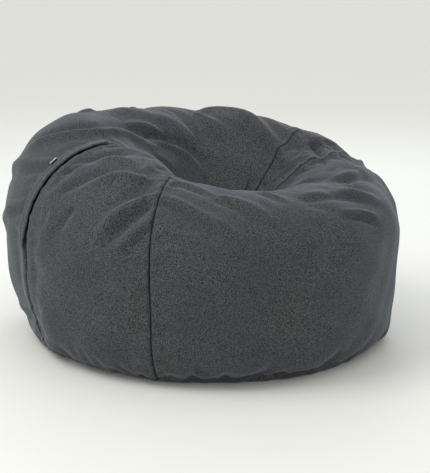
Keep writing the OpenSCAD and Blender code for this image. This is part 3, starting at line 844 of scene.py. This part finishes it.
def inner_tape(name):
    low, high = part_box(name)
    bm = bmesh.new()
    middle, size = (low + high) / 2, high - low
    bmesh.ops.create_cube(bm, size=1, matrix=Matrix.Translation(middle) @ Matrix.Diagonal((*size, 1)))
    bmesh.ops.bevel(bm, geom=bm.edges[:], offset=0.0002, segments=2, profile=0.5, affect="EDGES",
                    material=-1)
    piece = finished(bm, name + "_cloth", "bag", lining_tape, [name], smooth=False)


def inner_coil(name):
    low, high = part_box(name)
    middle, size = (low + high) / 2, high - low
    count = int(size.x / TOOTH_PITCH)

    def place(i):
        at = Vector((low.x + (i + 0.5) * size.x / count, middle.y, middle.z))
        return frame_matrix(at, Vector((0, 0, 1)), Vector((1, 0, 0)), Vector((0, 1, 0)),
                            (size.z, TOOTH_PITCH * 0.62, size.y))

    bm = bmesh.new()
    tooth_row(bm, count, place)
    core = Matrix.Translation(middle) @ Matrix.Diagonal((size.x, size.y * 0.45, size.z * 0.6, 1))
    bmesh.ops.create_cube(bm, size=1, matrix=core)
    finished(bm, name + "_teeth", "bag", inner_coil_plastic, [name], smooth=False)


def bead_filling():
    """The beads as one soft heap, dimpled where they press on the inner bag."""
    columns = 260
    rows = np.concatenate([np.linspace(1, 2, 36, endpoint=False), np.linspace(2, 3, 36, endpoint=False),
                           np.linspace(3, 4, 40)])
    phi, v = np.meshgrid(np.linspace(0, 360, columns + 1), rows)
    places = inner_skin(phi, v, FILL_IN + 0.0012, FILL_Z)
    places[-1] = places[-1].mean(0)
    places[:, -1] = places[:, 0]
    share = np.linspace(0, 1, 16, endpoint=False)[:, None, None]
    centre = np.array([0, 0, FILL_Z])
    base = mix(centre, places[0][None], share)
    base[..., 2] = FILL_Z
    bm = closed_ring(np.concatenate([base, places]))
    piece = finished(bm, "bead_filling", "bag", beads, ["bead_fill"])


# ---- Finishes ----

class Value:
    """One output in a material. Sums on it add Math nodes, so a pattern reads as an expression."""

    def __init__(self, finish, socket):
        self.finish, self.socket = finish, socket

    def maths(self, operation, *others):
        return self.finish.node("ShaderNodeMath", {"operation": operation}, self, *others)

    def __add__(self, other):
        return self.maths("ADD", other)

    def __mul__(self, other):
        return self.maths("MULTIPLY", other)

    def __sub__(self, other):
        return self.maths("SUBTRACT", other)

    def __rsub__(self, other):
        return self.finish.node("ShaderNodeMath", {"operation": "SUBTRACT"}, other, self)

    __radd__, __rmul__ = __add__, __mul__

    def between(self, low, high):
        """0 at low and 1 at high, smoothly."""
        return self.finish.node("ShaderNodeMapRange", {"interpolation_type": "SMOOTHSTEP"}, self, low, high)


class Finish:
    """A material under construction."""

    def __init__(self, name):
        self.material = bpy.data.materials.new(name)
        self.material.use_nodes = True
        self.tree = self.material.node_tree
        self.shader = self.tree.nodes["Principled BSDF"]

    def node(self, kind, settings, *inputs, output=0, **named):
        made = self.tree.nodes.new(kind)
        for key, value in settings.items():
            setattr(made, key, value)
        for key, value in [*enumerate(inputs), *((k.replace("_", " "), v) for k, v in named.items())]:
            self.feed(made.inputs[key], value)
        return Value(self, made.outputs[output])

    def feed(self, socket, value):
        if isinstance(value, Value):
            self.tree.links.new(value.socket, socket)
        else:
            socket.default_value = value

    def place(self):
        return self.node("ShaderNodeTexCoord", {}, output="Object")

    def noise(self, scale, detail=2.0, rough=0.5):
        return self.node("ShaderNodeTexNoise", {}, Vector=self.place(), Scale=scale, Detail=detail,
                         Roughness=rough)

    def cells(self, scale):
        return self.node("ShaderNodeTexVoronoi", {}, Vector=self.place(), Scale=scale)

    def attribute(self, name):
        return self.node("ShaderNodeAttribute", {"attribute_name": name}, output="Fac")

    def colour(self, share, first, second):
        made = self.tree.nodes.new("ShaderNodeMix")
        made.data_type = "RGBA"
        for socket, value in zip((made.inputs[0], made.inputs[6], made.inputs[7]), (share, first, second)):
            self.feed(socket, value if isinstance(value, Value) or socket.type == "VALUE" else (*value, 1))
        return Value(self, made.outputs[2])

    def bump(self, height, distance, strength=1.0):
        return self.node("ShaderNodeBump", {}, Height=height, Distance=distance, Strength=strength)

    def done(self, base_color, roughness, normal=None, **constants):
        self.feed(self.shader.inputs["Base Color"], base_color)
        self.feed(self.shader.inputs["Roughness"], roughness)
        if normal:
            self.feed(self.shader.inputs["Normal"], normal)
        for key, value in constants.items():
            self.shader.inputs[key.replace("_", " ")].default_value = value
        return self.material


def boucle_finish():
    """Felted wool with short loops: a fine mottle of light and dark fibres, and painted shade along the
    seams.
    """
    f = Finish("boucle_wool")
    loops = f.cells(420)
    fine = f.noise(520, 2, 0.6)
    tufts = f.noise(265, 3, 0.7)
    cloudy = f.noise(7, 3, 0.5)
    speckle = (fine * 0.45 + tufts * 0.55 - loops * 0.15).between(0.30, 0.54)
    cloth = f.colour(speckle, BOUCLE_DARK, BOUCLE_LIGHT)
    cloth = f.colour(cloudy.between(0.35, 0.7) * 0.35, cloth, BOUCLE_BLUE)
    # painted shade: the cloth darkens to near black along each seam, where the groove lies in shadow
    cloth = f.colour(f.attribute("at_seam") * 0.75, cloth, PAINTED_SEAM_SHADE_COLOUR)
    height = (1 - loops) * 0.7 + tufts * 0.9 + fine * 0.4
    return f.done(cloth, 0.95, f.bump(height, 0.0012, 0.5), Sheen_Weight=0.26, Sheen_Roughness=0.40,
                  Sheen_Tint=(0.80, 0.88, 1.0, 1), Specular_IOR_Level=0.10)


def plain_cloth_finish(name, dark, light, thread, rough, bump_depth, backing=None):
    """A plain weave: threads along three axes and a little unevenness, darker behind the cover's seams."""
    f = Finish(name)
    place = f.place()
    threads = [f.node("ShaderNodeTexWave", {"bands_direction": axis, "wave_profile": "SIN"}, Vector=place,
                      Scale=thread, Distortion=0.6, output="Fac") for axis in ("X", "Y", "Z")]
    weave = threads[0] * threads[1] + threads[2] * 0.5
    shade = (weave * 0.5 + f.noise(60, 3) * 0.5).between(0.15, 0.75)
    cloth = f.colour(shade, dark, light)
    if backing:
        cloth = f.colour(f.attribute("behind_seam").between(0.1, 0.4), cloth, backing)
    return f.done(cloth, rough, f.bump(weave, bump_depth, 0.5), Specular_IOR_Level=0.25)


def plastic_finish(name, dark, light):
    f = Finish(name)
    shade = f.noise(240, 2).between(0.3, 0.7)
    worn = f.noise(900, 2)
    return f.done(f.colour(shade, dark, light), worn * 0.15 + 0.28, f.bump(worn, 0.0001, 0.3))


def metal_finish():
    """Black lacquer on metal, rubbed a little brighter in places."""
    f = Finish("black_lacquered_metal")
    rubbed = f.noise(420, 4, 0.7).between(0.58, 0.74)
    fine = f.noise(1600, 2)
    lacquer_colour = f.colour(rubbed, (0.018, 0.018, 0.02), (0.12, 0.12, 0.125))
    return f.done(lacquer_colour, rubbed * 0.1 + fine * 0.12 + 0.24, f.bump(fine, 0.00008, 0.4),
                  Metallic=0.85, Coat_Weight=0.3)


def label_finish():
    """Black satin ribbon with one pale woven stripe."""
    f = Finish("label_ribbon")
    up = f.attribute("stripe")
    stripe = up.between(0.55, 0.58) * (1 - up.between(0.86, 0.89))
    weave = f.node("ShaderNodeTexWave", {"bands_direction": "Z"}, Vector=f.place(), Scale=900.0,
                   Distortion=0.4, output="Fac")
    black = f.colour(weave, (0.006, 0.006, 0.007), (0.018, 0.018, 0.02))
    return f.done(f.colour(stripe, black, (0.78, 0.78, 0.76)), 0.42, f.bump(weave, 0.0002, 0.4))


def bead_finish():
    """Expanded polystyrene beads, pressed together, with painted shade in the gaps between them."""
    f = Finish("polystyrene_beads")
    balls = f.cells(210)
    # painted shade: each bead darkens towards its edge, where the gaps between beads lie in shadow
    between = balls.between(0.35, 0.75)
    return f.done(f.colour(between, (0.88, 0.88, 0.86), (0.55, 0.55, 0.54)), 0.55,
                  f.bump(1 - balls, 0.004, 0.8), Subsurface_Weight=0.1)


BOUCLE_DARK, BOUCLE_LIGHT = (0.014, 0.0145, 0.0155), (0.109, 0.110, 0.117)
# the second colour on this line is the painted shade in the seam grooves
BOUCLE_BLUE, PAINTED_SEAM_SHADE_COLOUR = (0.046, 0.051, 0.066), (0.006, 0.006, 0.007)

boucle = boucle_finish()
base_cloth = plain_cloth_finish("base_nonwoven", (0.010, 0.010, 0.011), (0.035, 0.035, 0.038), 160.0, 0.88,
                                0.0004)
zip_cloth = plain_cloth_finish("zip_tape_weave", (0.006, 0.006, 0.007), (0.024, 0.024, 0.027), 420.0, 0.8,
                               0.0003)
lining = plain_cloth_finish("inner_bag_cloth", (0.62, 0.62, 0.60), (0.80, 0.80, 0.78), 300.0, 0.85, 0.0003,
                            BOUCLE_DARK)
lining_tape = plain_cloth_finish("inner_zip_tape_weave", (0.55, 0.55, 0.53), (0.76, 0.76, 0.74), 420.0, 0.8,
                                 0.0003)
coil_plastic = plastic_finish("coil_plastic", (0.010, 0.010, 0.011), (0.028, 0.028, 0.031))
inner_coil_plastic = plastic_finish("inner_coil_plastic", (0.66, 0.66, 0.64), (0.82, 0.82, 0.80))
lacquer = metal_finish()
label_cloth = label_finish()
beads = bead_finish()


# ---- The pieces ----

GORES = {"front_panel": (SEAM_FL, SEAM_FR), "right_side_panel": (SEAM_FR, SEAM_BR),
         "back_panel": (SEAM_BR - 360, SEAM_BL), "left_side_panel": (SEAM_BL, SEAM_FL)}
INNER_NAMES = {"front_panel": "front", "right_side_panel": "right_side", "back_panel": "back",
               "left_side_panel": "left_side"}

bead_filling()
for gore, (start, end) in GORES.items():
    cover_gore(gore, start, end)
    inner_gore(INNER_NAMES[gore], start, end)
seat_patch()
base_panel()
zip_flap()
inner_patch()
inner_base()
for gore, side in (("left", -1), ("back", 1)):
    zip_tape("zip_tape_" + gore, side)
    zip_coil("zip_coil_" + gore, side)
for row in ("front", "back"):
    inner_tape("inner_zip_tape_" + row)
    inner_coil("inner_zip_coil_" + row)
side_label()
for node, body, rounding in (("zip_slider", "runner", 0.00025), ("zip_puller", "puller", 0.00025),
                             ("zip_top_stop", "bag", 0.0002), ("zip_bottom_stop", "bag", 0.0002),
                             ("inner_zip_slider", "inner_runner", 0.00025),
                             ("inner_zip_stops", "bag", 0.0002)):
    rounded_copy(node, node + "_metal", body, lacquer, rounding)


# ---- Floor, light and camera ----

def floor():
    bm = bmesh.new()
    bmesh.ops.create_grid(bm, x_segments=8, y_segments=8, size=60)
    mesh = bpy.data.meshes.new("floor")
    bm.to_mesh(mesh)
    bm.free()
    f = Finish("pale_floor")
    f.done((0.86, 0.86, 0.84, 1), 0.6, Specular_IOR_Level=0.2)
    mesh.materials.append(f.material)
    plane = bpy.data.objects.new("floor", mesh)
    bpy.context.scene.collection.objects.link(plane)


def soft_light(name, place, aim, size, power, tint=(1, 1, 1)):
    light = bpy.data.lights.new(name, "AREA")
    light.shape, light.size, light.energy, light.color = "DISK", size, power, tint
    lamp = bpy.data.objects.new(name, light)
    lamp.location = place
    lamp.rotation_euler = (Vector(aim) - Vector(place)).to_track_quat("-Z", "Y").to_euler()
    bpy.context.scene.collection.objects.link(lamp)


def studio():
    scene = bpy.context.scene
    scene.view_settings.view_transform = "Standard"
    scene.world = bpy.data.worlds.new("studio")
    scene.world.use_nodes = True
    background = scene.world.node_tree.nodes["Background"]
    background.inputs["Color"].default_value = (0.985, 0.99, 0.96, 1)
    background.inputs["Strength"].default_value = 0.86
    soft_light("key", (-2.0, 1.0, 3.2), (0, 0, 0.3), 2.2, 52, (1.0, 0.995, 0.97))
    soft_light("side", (2.6, 1.4, 2.6), (0, 0, 0.35), 1.8, 22, (0.88, 0.94, 1.0))


def camera():
    azimuth, elevation, distance = math.radians(-50.9), math.radians(13.7), 4.0
    back = Vector((math.sin(azimuth) * math.cos(elevation), -math.cos(azimuth) * math.cos(elevation),
                   math.sin(elevation)))
    right = Vector((math.cos(azimuth), math.sin(azimuth), 0))
    aim = right * 0.045 + Vector((0, 0, 0.298))
    data = bpy.data.cameras.new("camera")
    data.lens, data.sensor_width = 100, 36
    eye = bpy.data.objects.new("camera", data)
    eye.location = aim + back * distance
    eye.rotation_euler = (-back).to_track_quat("-Z", "Y").to_euler()
    bpy.context.scene.collection.objects.link(eye)
    bpy.context.scene.camera = eye


floor()
studio()
camera()
